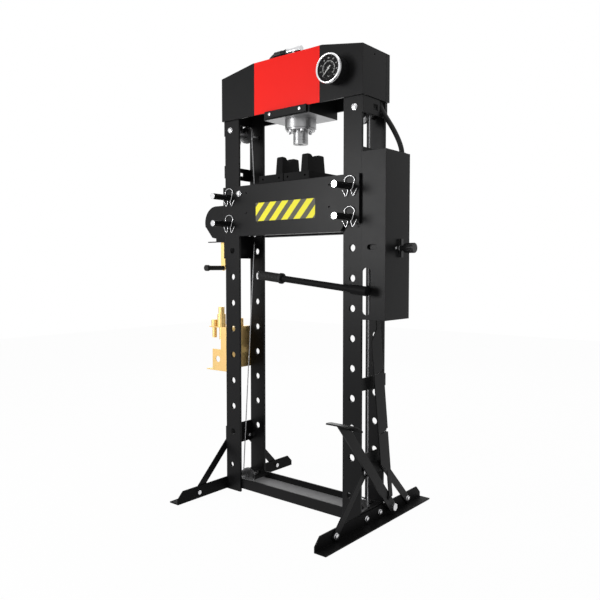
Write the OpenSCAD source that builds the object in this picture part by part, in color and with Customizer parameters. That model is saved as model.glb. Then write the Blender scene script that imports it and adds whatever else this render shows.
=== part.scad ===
// Workshop press: a floor-standing hydraulic press with a hand and foot pump,
// a pinned bed, a rope winch for the bed and a rack of press adapters.
// X runs to the right, Y to the back, Z up. The origin is on the floor, midway between the feet.

/* [Frame] */
// Clear width between the left and right uprights
clear_w = 534; // [480:2:600]
// Width of each upright bar
post_w = 80; // [70:1:90]
// Thickness of each upright bar
post_t = 10; // [8:0.5:12]
// Gap between the front and the rear uprights
post_gap = 140; // [130:1:160]
// Height of the top of the uprights
post_top = 1725; // [1715:1:1735]
// Thickness of the feet and of the plates that join the front and rear uprights
plate_t = 5; // [4:0.5:6]

/* [Pin holes] */
// Diameter of the bed pin holes
hole_d = 26.1; // [25.6:0.1:28]
// Height of the lowest pin hole
hole_z = 253.5; // [245:0.5:260]
// Pitch of the pin holes
hole_pitch = 110; // [106:0.5:112]

/* [Feet] */
// Length of each foot
foot_l = 705; // [660:1:760]
// Leg of the angle section of the feet
foot_leg = 50; // [46:1:60]
// Cut-off at the ends of the upright leg of the feet
foot_cut = 28; // [20:1:34]
// Distance of the floor anchor holes from the middle of the foot
anchor_y = 150; // [110:1:190]
// Diameter of the floor anchor holes
anchor_d = 12; // [9:0.5:14]
// Width of the diagonal braces
brace_w = 30; // [24:1:34]
// Distance of the lower brace bolts from the middle of the foot
brace_y = 242; // [230:1:255]

/* [Base] */
// Underside of the base beam
base_z = 13; // [8:1:16]
// Height of the base beam
base_h = 43; // [38:1:48]
// Thickness of the base beam
base_t = 5; // [4:0.5:6]
// Height of the base beam's floor above its underside
base_floor = 12; // [10:1:16]

/* [Head] */
// Thickness of the head plates
head_t = 9; // [6:0.5:12]
// Underside of the head
head_z = 1565; // [1560:1:1575]
// Height of the head at its ends
head_end_h = 176; // [165:1:185]
// Height of the head at its flat top
head_h = 207; // [195:1:215]
// Width of the flat top
head_flat_w = 350; // [300:2:420]
// Where the end plates of the front half stop, behind the middle of the head
head_split_y = 62; // [40:1:65]

/* [Cylinder] */
// Diameter of the cylinder flange
flange_d = 124; // [120:1:136]
// Height of the cylinder flange
flange_h = 43; // [38:1:50]
// Diameter of the ram
ram_d = 59; // [54:1:64]
// Length of ram that stands out of the flange
ram_out = 52; // [46:1:58]
// Outside diameter of the cylinder tube
barrel_d = 116; // [110:1:118]
// Wall of the cylinder tube
barrel_wall = 13; // [10:0.5:16]
// Half width of the cylinder carriage
carriage_half = 115; // [100:1:130]
// Thickness of the carriage floor
carriage_t = 29; // [24:1:32]

/* [Bed] */
// Thickness of the bed plates
bed_t = 12; // [10:0.5:14]
// Gap between the uprights and the bed plates
bed_gap = 2; // [1:0.5:3]
// Height of the bed plates at their ends
bed_end_h = 178; // [172:1:190]
// Height of the bed plates between the uprights
bed_h = 205; // [196:1:215]
// Height of the bed's upper edge above its upper pins
bed_over_pin = 45; // [40:1:50]
// Diameter of the bed pins
pin_d = 24.4; // [23:0.1:25]
// Length of pin that stands out in front of the bed
pin_out = 98; // [80:1:120]
// Wire of the spring clips
clip_wire = 3; // [2.4:0.1:3.6]

/* [Blocks] */
// Width of each V-block
block_w = 126; // [110:1:128]
// Height of the base of the V-blocks
block_base_h = 30; // [26:1:34]
// Height of the V-blocks
block_h = 107; // [98:1:112]

/* [Pump] */
// Width of the pump housing
box_w = 102; // [94:1:120]
// Underside of the pump housing
box_z = 765; // [755:1:775]
// Height of the pump housing
box_h = 600; // [580:1:612]
// Sheet thickness of the pump housing
box_t = 2; // [1.5:0.5:3]
// Length of the pump handle from its pivot
handle_l = 500; // [420:5:560]
// Diameter of the handle tube
handle_d = 25; // [22:0.5:28]
// Diameter of the handle grip
grip_d = 36; // [32:0.5:38]
// Slope of the handle at rest
handle_tilt = 6; // [3:0.5:9]

/* [Pedal] */
// Width of the pedal arm
arm_w = 40; // [36:1:44]
// Thickness of the pedal arm
arm_t = 6; // [5:0.5:8]
// Width of the pedal pad
pad_w = 92; // [80:1:120]
// Thickness of the pedal pad
pad_t = 5; // [4:0.5:7]

/* [Winch and rack] */
// Radius of the round end of the winch cheeks
cheek_r = 70; // [62:1:76]
// Length of the winch lever
lever_l = 199; // [170:1:220]
// Sheet thickness of the adapter rack
rack_t = 4; // [3:0.5:5]
// Diameter of the wire ropes
rope_d = 5; // [4:0.5:6]

/* [Gauge] */
// Diameter of the gauge bezel
bezel_d = 107; // [103:1:114]
// Length of the gauge case in front of the head
gauge_l = 46; // [36:1:60]

/* [Hidden] */
$fn = 64;
fit = 0.05;
slack = 0.35;
eps = 0.01;
hole_n = 10;

post_in = clear_w / 2;
post_out = post_in + post_w;
post_x = post_in + post_w / 2;
yi = post_gap / 2;
yo = yi + post_t;
plate_out = post_out + plate_t;

// Bolts: shank, head and clearance hole
bolt_d = 10;
bolt_head_d = 19;
bolt_head_h = 7;
bolt_tail = 9;
bolt_hole_d = bolt_d + 2 * slack;
anchor_x = post_out + 32;
foot_bolt_y = 45;
foot_bolt_z = 25;
brace_t = 5;
brace_top_y = yi - bolt_head_d / 2 - slack;
brace_top_z = foot_bolt_z + brace_y - brace_top_y;
head_bolt_x = post_x + 8;
head_bolt_z = head_z - 39;
low_hole_x = 10;

// Head and carriage: hole in the right end plate, seam, carriage walls, clamp bar and its screws
head_hole = [76, 22];
head_hole_r = 4;
head_seam = 2;
carriage_wall_h = 80;
carriage_wall_t = 8;
clamp_in = 10;
clamp_low = 4;
clamp_up = 2;
clamp_screw_in = 29;
clamp_screw_z = 17.5;
clamp_screw_d = 6;
clamp_screw_h = 5;

// Cylinder and ram: flange lip, screw holes, cap, boss under the coupler, grooves
flange_lip = 8;
flange_step = 5;
flange_hole_in = 14;
flange_hole_d = 9;
flange_hole_l = 12;
barrel_cap = 16;
boss_y = -40;
boss_d = 34;
boss_h = 45;
groove_at = [14, 24];
groove_deep = 1.5;
groove_w = 2.5;
coupler_x = [-62, -42, -32, 13, 37];
coupler_r = [11, 14, 10, 13];
coupler_stem_d = 16;
low_hole_z = 110;
low_hole_d = 21;

// Plates across the uprights: lower and upper edge of each
low_plate = [brace_top_z - 24, brace_top_z + 64];
mid_plate = [506, 552];
carrier_plate = [992, 1091];
upper_plate = [1330, 1382];
neck_plate = [head_z - 60, head_z];

// Base beam and rope sheaves
sheave_r = 28;
sheave_w = 12;
sheave_rim = 9;
groove_half = 2.4;
collar_w = 6;
collar_h = 5;
sheave_x = post_out - 21 - sheave_r;
low_sheave_z = base_z + base_h - 11;
top_sheave_z = 1515;
axle_d = 14;

head_half = post_out + head_t;
head_y = yo + head_t;

// Cylinder heights
carriage_z = head_z - carriage_t;
flange_z = carriage_z - flange_h;
ram_z = flange_z - ram_out;
barrel_top = head_z + 170;
piston_h = 24;
piston_z = barrel_top - 50;
stem_d = 20;
socket_l = 40;

// Bed
pin_drop = (hole_d - pin_d) / 2 - slack;
pin_z = [for (i = [hole_n - 2, hole_n - 1]) hole_z + i * hole_pitch - pin_drop];
bed_hole_d = pin_d + 4 * slack;
bed_top = pin_z[1] + bed_over_pin;
bed_in = yo + bed_gap;
bed_out = bed_in + bed_t;
bed_half = post_out - 1;
bed_flange = 22;
bed_flange_t = 6;
bed_tie_x = post_in - 6;
bed_tie_t = 16;
bed_tie_low = 20;
bed_tie_down = 12;
bed_screw_down = [31, 112];
bed_screw_in = 55;
bed_screw_d = 7;
bed_step = [5, 15];
bed_bolt = [bed_tie_x - bed_tie_t / 2, bed_top - bed_screw_down[0]];
bed_bolt_l = 40;
pin_front = -bed_out - pin_out;
pin_tail = 18;
pin_back = bed_out + pin_tail;
clip_y = -bed_out - 5;
clip_loop = [22, 17];
clip_up = 21;
clip_end = [[8, -19], [14, -34], [20, -29], [32, -9]];
block_gap = 4;
block_half_y = bed_out + 3;
block_shift = 8;
block_hole = [43, 4, 20];

// Upright part of the V-blocks: half width and depth at its foot and top, cut corners and the vee
upright_half = [18, 15];
upright_foot = [-48, 63];
upright_top = [-43, 57];
upright_cut = 3;
vee = 25;

// Pump housing and pump
box_out = post_out + box_w;
box_y = yo + box_t;
slot_x = post_out + 24;
slot_r = 18;
slot_z = [box_z + 17 + slot_r, box_z + 187 - slot_r];
pivot = [post_out + 28, box_z + 106];
handle_y = -yo - 38;
hub_r = 12;
shaft_r = 8;
crank_arm = 30;
plunger_x = pivot[0] + crank_arm;
plunger_y = -58;
plunger_r = 8;
tank_x = box_out - 5;
tank_z = [carrier_plate[0] + 8, upper_plate[0] + 10];
pump_z = [tank_z[0] - 100, tank_z[0]];
knob = [14, carrier_plate[0] + 30];
knob_r = 17;
knob_shaft_r = 6;
knob_in = 22;
knob_gap = 4;
knob_l = 40;
neck_r = 10;
neck_l = 11;
wing_t = 7;
wing_w = 14;
wing_l = 66;
crank_y = [-75, -68];
crank_w = 18;
crank_pin_r = 4;
shaft_end_y = -25;
socket_wall = 5;
socket_back = 42;
socket_front = 24;
socket_bore = 12;
grip_l = 118;
grip_off = 12;
grip_rim = 3;

// Pedal: the pivot, the top of the arm and the stud of the pull rod, as [Y, Z]
pedal_pivot = [106, 34];
pedal_top = [-222, 408];
pedal_stud = [79, 78];
arm_x = plate_out + brace_t + bolt_head_h + 2;
pedal_shank_r = 8;
stud_r = 5;
eye_t = 4;
eye_r = 11;
pedal_nut_r = 14;
pedal_nut_h = 12;
rod_x = arm_x + arm_t + 0.5 + eye_t / 2;
rod_lean = 8.02;
rod_in = 68;
rod_l = (box_z + rod_in - pedal_stud[1]) / cos(rod_lean);
rod_edge = [-6, 18];
rod_wide = -46;
rod_wide_z = [150, 620];
rod_slit = [3, 54];
rod_eye_r = 5;
rod_notch = [258, 488];
rod_notch_h = 14;
rod_notch_in = 10;
arm_over = 0.75 * arm_w;
pad_off = 18;
pad_back = 80;
pad_front = 54;
pad_reach = 160;
pad_r = 120;
pad_angle = -24;

// Winch
winch_y = [-46, 24];
winch_x = plate_out + 56;
winch_z = 1150;
cheek_t = 4;
cheek_x = plate_out + 90;
cheek_cut = [[-65, -19], [-22, -69]];
drum_r = 34;
drum_flange_r = 48;
winch_shaft_r = 8;
lever_w = 24;
lever_y = [winch_y[0] + 8, winch_y[0] + 14];
lever_grip_l = 100;
lever_grip_r = 10;
lever_eye_r = 15;
lever_pin_r = 5;
lever_washer = 4;
lever_tip = 3;
lever_knob_l = 14;
lever_gap = 0.5;
shaft_tip = 5;
drum_flange_t = 3;
winch_drop = 18;
winch_seat = 20;
winch_lip = [41, 10];
winch_leg = 41;

// Adapter rack
rack_z = [516, 695];
shelf_out = plate_out + 120;
shelf_y = [-62, 62];
wing_y = -58;
wing_in = 48;
wing_out = 100;
wing_h = 80;
wing_drop = 14;
wing_hole = [67, 37];
wing_hole_d = 28;
tab_x = [60, 138];
tab_w = 30;
adapter_x = [plate_out + 59, plate_out + 103, plate_out + 30];
adapter_y = [-46, -46, 40];

// Gauge
gauge_in = 113;
gauge_up = 97;
gauge = [head_half - gauge_in, head_z + gauge_up];
gauge_case_r = 50;
bezel_in_r = 46;
bezel_l = 12;
needle_shaft_r = 1.5;
dial_t = 4;
glass_t = 1.5;
needle_off = 7.5;
needle_t = 2;
needle_hub_r = 4;
needle_l = 34;
needle_tail = 12;
needle_w = 2;
needle_tip = 0.5;
needle_rest = -135;

// Pressure hose: from the coupler, through the head and out to the pump
hose_d = 19;
hose_end = [427, 62];
hose_notch = [28, 64];
hose_points = [
    [coupler_x[0] - 2 * slack, boss_y, 1800], [-96, boss_y, 1800], [-128, -39, 1782], [-152, -34, 1742],
    [-158, -16, 1700],
    [-146, 10, 1684], [-118, 26, 1706], [-78, 31, 1741], [-30, 32, 1751], [60, 32, 1751], [140, 34, 1742],
    [210, 38, 1716], [270, 42, 1680], [312, 44, 1634], [330, 45, 1592], [338, 45, 1562], [350, 46, 1532],
    [370, 49, 1499], [392, 54, 1462], [411, 59, 1423], [422, 62, 1392],
    [hose_end[0], hose_end[1], 1366], [hose_end[0], hose_end[1], tank_z[1] + slack]];

paint = [0.07, 0.07, 0.075];
red = [0.93, 0.1, 0.08];
steel = [0.68, 0.68, 0.7];
zinc = [0.86, 0.69, 0.33];

// Helpers: a flat outline stood up across X or across Y, and round bars along X and Y
module across_x(x0, x1) {
    translate([x0, 0, 0]) rotate([90, 0, 90]) linear_extrude(x1 - x0) children();
}
module across_y(y0, y1) {
    translate([0, y1, 0]) rotate([90, 0, 0]) linear_extrude(y1 - y0) children();
}
module bar_x(r, x0, x1) {
    translate([x0, 0, 0]) rotate([0, 90, 0]) cylinder(r = r, h = x1 - x0);
}
module bar_y(r, y0, y1) {
    translate([0, y1, 0]) rotate([90, 0, 0]) cylinder(r = r, h = y1 - y0);
}
module box(x, y, z) {
    translate([x[0], y[0], z[0]]) cube([x[1] - x[0], y[1] - y[0], z[1] - z[0]]);
}
module both_sides() {
    children();
    mirror([1, 0, 0]) children();
}

// A round tube swept along points: each ring lies square to the path there
function unit(v) = v / norm(v);
function heading(p, i) = unit(p[min(i + 1, len(p) - 1)] - p[max(i - 1, 0)]);
function ring_side(h, ref) = unit(cross(h, ref));
function ring(p, i, r, ref, sides) =
    let (h = heading(p, i), a = ring_side(h, ref), b = cross(h, a))
    [for (k = [0:sides - 1]) p[i] + r * (cos(360 * k / sides) * a + sin(360 * k / sides) * b)];
module sweep(p, r, ref, sides = 10) {
    n = len(p);
    points = [for (i = [0:n - 1]) each ring(p, i, r, ref, sides)];
    caps = [[for (k = [0:sides - 1]) k], [for (k = [sides - 1:-1:0]) (n - 1) * sides + k]];
    walls = [for (i = [0:n - 2], k = [0:sides - 1]) let (j = (k + 1) % sides)
        each [[i * sides + k, (i + 1) * sides + k, (i + 1) * sides + j],
              [i * sides + k, (i + 1) * sides + j, i * sides + j]]];
    polyhedron(points, concat(caps, walls));
}
function spline_at(a, b, c, d, t) = 0.5 * (2 * b + (c - a) * t
    + (2 * a - 5 * b + 4 * c - d) * t * t + (3 * b - a - 3 * c + d) * t * t * t);
function spline(p, n) = concat([for (i = [0:len(p) - 2], k = [0:n - 1])
    spline_at(p[max(i - 1, 0)], p[i], p[i + 1], p[min(i + 2, len(p) - 1)], k / n)], [p[len(p) - 1]]);
function tangent(c, r, q, side) = atan2(q[1] - c[1], q[0] - c[0]) + side * acos(r / norm(q - c));
function arc(c, r, a0, a1, n) = [for (i = [0:n]) let (a = a0 + (a1 - a0) * i / n)
    [c[0] + r * cos(a), 0, c[1] + r * sin(a)]];

// A bolt along X: head outside at x, shank inwards over grip, nut behind it
module bolt_x(x, y, z, grip) {
    translate([0, y, z]) {
        bar_x(bolt_head_d / 2, x, x + bolt_head_h, $fn = 6);
        bar_x(bolt_d / 2, x - grip - bolt_tail, x + eps);
        bar_x(bolt_head_d / 2, x - grip - bolt_head_h, x - grip, $fn = 6);
    }
}
module hole_x(y, z, d = bolt_hole_d) {
    translate([0, y, z]) bar_x(d / 2, -1000, 1000);
}
module hole_y(x, z, d) {
    translate([x, 0, z]) bar_y(d / 2, -1000, 1000);
}
module pin_holes() {
    for (i = [0:hole_n - 1]) hole_y(post_x, hole_z + i * hole_pitch, hole_d);
}

// Uprights: flat bars with a row of pin holes, and a smaller hole low in the front ones
module post(front, low_x = 0) {
    y = front ? [-yo, -yi] : [yi, yo];
    color(paint) difference() {
        box([post_in, post_out], y, [0, post_top]);
        pin_holes();
        if (front) {
            hole_y(head_bolt_x, head_bolt_z, bolt_hole_d);
            hole_y(post_x + low_x, low_hole_z, low_hole_d);
        }
    }
}
module front_left_post() { mirror([1, 0, 0]) post(true, low_hole_x); }
module front_right_post() { post(true, -low_hole_x); }
module rear_left_post() { mirror([1, 0, 0]) post(false); }
module rear_right_post() { post(false); }

// Feet: angle irons with cut ends
module foot_outline() {
    half = foot_l / 2;
    polygon([[-half, 0], [half, 0], [half, foot_leg - foot_cut], [half - foot_cut, foot_leg],
             [foot_cut - half, foot_leg], [-half, foot_leg - foot_cut]]);
}
module foot() {
    difference() {
        union() {
            across_x(post_out, plate_out) foot_outline();
            box([plate_out - eps, post_out + foot_leg], [-foot_l / 2, foot_l / 2], [0, plate_t]);
        }
        for (s = [-1, 1]) {
            hole_x(s * foot_bolt_y, foot_bolt_z);
            hole_x(s * brace_y, foot_bolt_z);
            translate([anchor_x, s * anchor_y, -1]) cylinder(d = anchor_d, h = plate_t + 2);
        }
    }
}
module left_foot() { color(paint) mirror([1, 0, 0]) foot(); }
module right_foot() {
    color(paint) difference() {
        foot();
        hole_x(pedal_pivot[0], pedal_pivot[1], 2 * (pedal_shank_r + slack));
    }
}

// Braces: flat bars at 45 degrees, bolted to the foot and to the low plate
module brace() {
    over = brace_w / 2;
    run = (brace_y - brace_top_y) * sqrt(2) + 2 * over;
    difference() {
        across_x(plate_out, plate_out + brace_t) difference() {
            translate([brace_y, foot_bolt_z]) rotate(135) translate([-over, -over]) square([run, brace_w]);
            translate([0, plate_t + slack - run]) square([foot_l, run]);
        }
        hole_x(brace_y, foot_bolt_z);
        hole_x(brace_top_y, brace_top_z);
    }
}
module braces() {
    brace();
    mirror([0, 1, 0]) brace();
}
module left_braces() { color(paint) mirror([1, 0, 0]) braces(); }
module right_braces() { color(paint) braces(); }

// Base beam between the uprights, with end plates against the feet
module base_beam() {
    z = [base_z, base_z + base_h];
    floor_z = base_z + base_floor;
    web_hole = 2 * sheave_r + 14;
    color(paint) difference() {
        union() {
            box([-post_out, post_out], [-yi, base_t - yi], z);
            box([-post_out, post_out], [yi - base_t, yi], z);
            box([-post_in, post_in], [base_t - yi - eps, yi - base_t + eps], [floor_z, floor_z + base_t]);
            both_sides() box([post_out - base_t, post_out], [-yi, yi], z);
        }
        both_sides() for (s = [-1, 1]) translate([0, s * foot_bolt_y, foot_bolt_z])
            bar_x(bolt_hole_d / 2, post_out - base_t - 1, post_out + 1);
        both_sides() box([sheave_x - web_hole / 2, sheave_x + web_hole / 2], [-12, 12], [floor_z - 1, z[1]]);
        both_sides() hole_y(sheave_x, low_sheave_z, axle_d + 2 * slack);
    }
}

// Plates that join the front and rear uprights on the outside
module side_plate(z) {
    box([post_out, plate_out], [-yo, yo], z);
}
module neck_plates() {
    color(paint) {
        both_sides() difference() {
            side_plate([neck_plate[0], neck_plate[1] - 1]);
            box([post_out - 1, plate_out + 1], [-14, 14], [neck_plate[0] + 18, neck_plate[0] + 40]);
            box([post_out - 1, plate_out + 1], hose_notch, [neck_plate[0] + 6, neck_plate[1]]);
        }
    }
}
module frame_plates() {
    color(paint) {
        side_plate(mid_plate);
        both_sides() {
            side_plate(carrier_plate);
            difference() {
                side_plate(upper_plate);
                box([post_out - 1, plate_out + 1], [-30, 30], [upper_plate[0] + 19, upper_plate[0] + 33]);
            }
        }
    }
}
module low_plates() {
    color(paint) both_sides() difference() {
        side_plate(low_plate);
        for (s = [-1, 1]) hole_x(s * brace_top_y, brace_top_z);
    }
}
module frame_bolts() {
    color(steel) both_sides() {
        for (s = [-1, 1]) {
            bolt_x(plate_out, s * foot_bolt_y, foot_bolt_z, plate_t + base_t);
            bolt_x(plate_out + brace_t, s * brace_y, foot_bolt_z, plate_t + brace_t);
            bolt_x(plate_out + brace_t, s * brace_top_y, brace_top_z, plate_t + brace_t);
        }
        translate([head_bolt_x, 0, head_bolt_z]) {
            bar_y(bolt_head_d / 2, -yo - bolt_head_h, -yo, $fn = 6);
            bar_y(bolt_d / 2, -yo - eps, -yi + bolt_tail);
            bar_y(bolt_head_d / 2, -yi, -yi + bolt_head_h, $fn = 6);
        }
    }
}

// Head: a front and a rear plate with end plates, cut back at the upper corners
module head_outline(half) {
    top = head_z + head_h;
    end = head_z + head_end_h;
    flat = head_flat_w / 2;
    polygon([[-half, head_z], [half, head_z], [half, end], [flat, top], [-flat, top], [-half, end]]);
}
module head_half_shell(y_end) {
    across_y(-head_y, -yo) head_outline(head_half);
    both_sides() box([post_out, head_half], [-yo - eps, y_end], [head_z, head_z + head_end_h]);
}
module head_front() {
    color(red) difference() {
        head_half_shell(head_split_y);
        translate([0, head_split_y - head_hole[0], head_z + head_end_h - head_hole[1]])
            bar_x(head_hole_r, 0, head_half + 1);
    }
}
module head_rear() {
    color(paint) mirror([0, 1, 0]) head_half_shell(-head_split_y - head_seam);
}

// Cylinder on its carriage, which hangs under the head plates
module carriage() {
    wall_z = [head_z - eps, head_z + carriage_wall_h];
    color(paint) difference() {
        union() {
            box([-carriage_half, carriage_half], [-head_y, head_y], [carriage_z, head_z]);
            both_sides()
                box([carriage_half - carriage_wall_t, carriage_half], [-yo + slack, yo - slack], wall_z);
        }
        translate([0, 0, carriage_z - 1]) cylinder(d = barrel_d + 2 * slack, h = carriage_t + 2);
    }
}
module carriage_clamp() {
    half = carriage_half - clamp_in;
    front = -head_y - head_t;
    screw = [half - clamp_screw_in, carriage_z + clamp_screw_z];
    color(paint) difference() {
        box([-half, half], [front, -head_y], [carriage_z + clamp_low, head_z + clamp_up]);
        both_sides() hole_y(screw[0], screw[1], clamp_screw_d);
    }
    color(steel) both_sides() translate([screw[0], 0, screw[1]]) {
        bar_y(clamp_screw_d, front - clamp_screw_h, front + eps);
        bar_y(clamp_screw_d / 2, front - eps, -head_y - 1);
    }
}
module cylinder_flange() {
    color(steel) difference() {
        union() {
            translate([0, 0, flange_z + flange_lip]) cylinder(d = flange_d, h = flange_h - flange_lip);
            translate([0, 0, flange_z]) cylinder(d = flange_d - 2 * flange_step, h = flange_lip + eps);
        }
        translate([0, 0, flange_z - 1]) cylinder(d = ram_d + 2 * fit, h = flange_h + 2);
        for (a = [15:60:359]) rotate(a) translate([flange_d / 2 - flange_hole_in, 0, flange_z - 1])
            cylinder(d = flange_hole_d, h = flange_hole_l);
    }
}
module cylinder_tube() {
    inner = barrel_d - 2 * barrel_wall;
    color(paint) difference() {
        union() {
            translate([0, 0, carriage_z]) cylinder(d = barrel_d, h = barrel_top - carriage_z);
            translate([0, boss_y, barrel_top - eps]) cylinder(d = boss_d, h = boss_h);
        }
        translate([0, 0, carriage_z - 1]) cylinder(d = inner, h = barrel_top - barrel_cap - carriage_z + 1);
    }
}
module ram() {
    inner = barrel_d - 2 * barrel_wall;
    color(steel) difference() {
        union() {
            translate([0, 0, ram_z]) cylinder(d = ram_d, h = piston_z - ram_z);
            translate([0, 0, piston_z - eps]) cylinder(d = inner - 2 * fit, h = piston_h);
        }
        for (z = groove_at) translate([0, 0, ram_z + z]) rotate_extrude()
            translate([ram_d / 2 - groove_deep, 0]) square([2 * groove_deep, groove_w]);
        translate([0, 0, ram_z - 1]) cylinder(d = stem_d + 2 * slack, h = socket_l + 1);
    }
}

// Pressure gauge on the front of the head
module at_gauge() {
    translate([gauge[0], 0, gauge[1]]) children();
}
module gauge_case() {
    color(paint) at_gauge() bar_y(gauge_case_r, -head_y - gauge_l, -head_y);
}
module gauge_bezel() {
    front = -head_y - gauge_l - bezel_l;
    color(steel) at_gauge() difference() {
        bar_y(bezel_d / 2, front, front + bezel_l);
        bar_y(bezel_in_r, front - 1, front + bezel_l + 1);
    }
}
module gauge_dial() {
    back = -head_y - gauge_l;
    color(paint) at_gauge() {
        bar_y(bezel_in_r - slack, back - dial_t, back);
        bar_y(needle_shaft_r, back - needle_off - needle_tip, back - dial_t + eps);
    }
}
module gauge_needle() {
    back = -head_y - gauge_l - needle_off;
    color("white") at_gauge() difference() {
        union() {
            bar_y(needle_hub_r, back, back + needle_t);
            across_y(back, back + needle_t) rotate(needle_rest) polygon([
                [-needle_tail, -needle_w], [-needle_tail, needle_w],
                [needle_l, needle_tip], [needle_l, -needle_tip]]);
        }
        bar_y(needle_shaft_r + fit, back - needle_l, back + needle_l);
    }
}

module gauge_glass() {
    front = -head_y - gauge_l - bezel_l + 1;
    color("white", 0.3) at_gauge() bar_y(bezel_in_r - slack, front, front + glass_t);
}

// Pressure hose and the coupler on top of the cylinder
module pressure_hose() {
    color(paint) sweep(spline(hose_points, 3), hose_d / 2, [0.2, -0.75, -0.6], 14);
}
module hose_coupler() {
    z0 = hose_points[0][2];
    stem = barrel_top + boss_h - z0;
    color(steel) translate([0, boss_y, z0]) {
        for (i = [0:3])
            bar_x(coupler_r[i], coupler_x[i] - (i > 0 ? eps : 0), coupler_x[i + 1], $fn = i % 2 ? 6 : $fn);
        translate([0, 0, stem]) cylinder(d = coupler_stem_d, h = -stem);
    }
}

// Bed: two folded plates outside the uprights, ties between them, pins and clips
module bed_outline() {
    low = bed_top - bed_h;
    end = bed_top - bed_end_h;
    step = [post_in - bed_step[0], post_in + bed_step[1]];
    polygon([[-bed_half, end], [-step[1], end], [-step[0], low], [step[0], low],
             [step[1], end], [bed_half, end], [bed_half, bed_top], [-bed_half, bed_top]]);
}
module bed_side() {
    low = bed_top - bed_h;
    half = post_in - bed_step[0];
    difference() {
        union() {
            across_y(-bed_out, -bed_in) bed_outline();
            box([-half, half], [-bed_in - eps, bed_flange - bed_in], [low, low + bed_flange_t]);
        }
        both_sides() for (z = pin_z) hole_y(post_x, z, bed_hole_d);
        both_sides() for (down = bed_screw_down) hole_y(post_in - bed_screw_in, bed_top - down, bed_screw_d);
        hole_y(-bed_bolt[0], bed_bolt[1], bolt_hole_d);
    }
}
module bed_front() { color(paint) bed_side(); }
module bed_rear() { color(paint) mirror([0, 1, 0]) bed_side(); }
module bed_ties() {
    color(paint) difference() {
        both_sides()
            box([bed_tie_x - bed_tie_t, bed_tie_x], [-bed_in, bed_in],
                [bed_top - bed_h + bed_tie_low, bed_top - bed_tie_down]);
        hole_y(-bed_bolt[0], bed_bolt[1], bolt_hole_d);
    }
}
module bed_bolt() {
    color(steel) translate([-bed_bolt[0], 0, bed_bolt[1]]) {
        bar_y(bolt_head_d / 2, -bed_out - bolt_head_h, -bed_out, $fn = 6);
        bar_y(bolt_d / 2, -bed_out - eps, bed_bolt_l - bed_in);
    }
}
module bed_pins() {
    color(steel) both_sides() for (z = pin_z) translate([post_x, 0, z]) bar_y(pin_d / 2, pin_front, pin_back);
}
module clip() {
    hug_r = pin_d / 2 + clip_wire / 2 + 3 * slack;
    half = concat(
        [for (a = [90:-30:-30]) [clip_loop[0] * cos(a), 0, clip_up + clip_loop[1] * sin(a)]],
        [for (a = [0:-30:-60]) [hug_r * cos(a), 0, hug_r * sin(a)]],
        [for (p = clip_end) [p[0], 0, p[1]]]);
    other = [for (i = [len(half) - 1:-1:1]) [-half[i][0], 0, half[i][2]]];
    sweep(spline(concat(other, half), 3), clip_wire / 2, [0.1, 1, 0.05], 8);
}
module pin_clips() {
    color(steel) both_sides() for (z = pin_z) translate([post_x, clip_y, z]) clip();
}

// V-blocks that stand across the bed
module v_block() {
    top = bed_top + block_h;
    neck = bed_top + block_base_h;
    color(paint) difference() {
        union() {
            box([-block_w / 2, block_w / 2], [-block_half_y, block_half_y], [bed_top, neck]);
            intersection() {
                across_y(upright_foot[0], upright_foot[1]) polygon([
                    [-upright_half[0], neck - eps], [upright_half[0], neck - eps],
                    [upright_half[1], top - upright_cut], [upright_half[1] - upright_cut, top],
                    [upright_cut - upright_half[1], top], [-upright_half[1], top - upright_cut]]);
                across_x(-upright_half[0], upright_half[0]) polygon([
                    [upright_foot[0], neck - eps], [upright_foot[1], neck - eps],
                    [upright_top[1], top - upright_cut], [upright_top[1] - upright_cut, top],
                    [vee + upright_cut, top], [vee - upright_cut, top - upright_cut], [0, top - vee],
                    [upright_cut - vee, top - upright_cut], [-vee - upright_cut, top],
                    [upright_top[0] + upright_cut, top], [upright_top[0], top - upright_cut]]);
            }
        }
        for (s = [-1, 1]) translate([s * block_hole[0], -block_half_y, bed_top + block_base_h / 2])
            bar_y(block_hole[1], -1, block_hole[2]);
    }
}
module left_block() { translate([-(block_w + block_gap) / 2 - block_shift, 0, 0]) v_block(); }
module right_block() { translate([(block_w + block_gap) / 2 - block_shift, 0, 0]) v_block(); }

// Pump housing: a folded cover on the right side, with the lever slot in front
module pump_housing() {
    top = box_z + box_h;
    color(paint) difference() {
        box([post_out, box_out], [-box_y, box_y], [box_z, top]);
        box([post_out - 1, box_out - box_t], [-yo, yo], [box_z - 1, top - box_t]);
        box([post_out - 1, plate_out + slack], [-yo, yo], [top - 2 * box_t, top + 1]);
        across_y(-box_y - 1, -yo + 1) union() {
            for (z = slot_z) translate([slot_x, z]) circle(slot_r);
            translate([slot_x - slot_r, slot_z[0]]) square([2 * slot_r, slot_z[1] - slot_z[0]]);
            for (x = [-11, 11]) translate([post_out + 46 + x, box_z + 260]) circle(9);
            translate([post_out + 35, box_z + 251]) square([22, 18]);
        }
        translate([0, knob[0], knob[1]]) bar_x(knob_shaft_r + 2, box_out - 5, box_out + 5);
        translate([hose_end[0], hose_end[1], top - box_t - 1]) cylinder(d = hose_d + 3, h = box_t + 2);
    }
}
module oil_tank() {
    color(paint) difference() {
        box([plate_out, tank_x], [-72, 72], tank_z);
        translate([0, knob[0], knob[1]]) bar_x(knob_shaft_r + fit, tank_x - 24, tank_x + 1);
    }
}
module pump_block() {
    ear_y = [-45, -33];
    color(steel) difference() {
        union() {
            box([plunger_x - 18, plunger_x + 20], [-70, -20], pump_z);
            box([pivot[0] - 16, plunger_x + 20], ear_y, [pivot[1] - 18, pump_z[1]]);
        }
        translate([plunger_x, plunger_y, pump_z[0] - 1]) cylinder(r = plunger_r + fit, h = 86);
        hole_y(pivot[0], pivot[1], 2 * (shaft_r + fit));
    }
}
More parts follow.
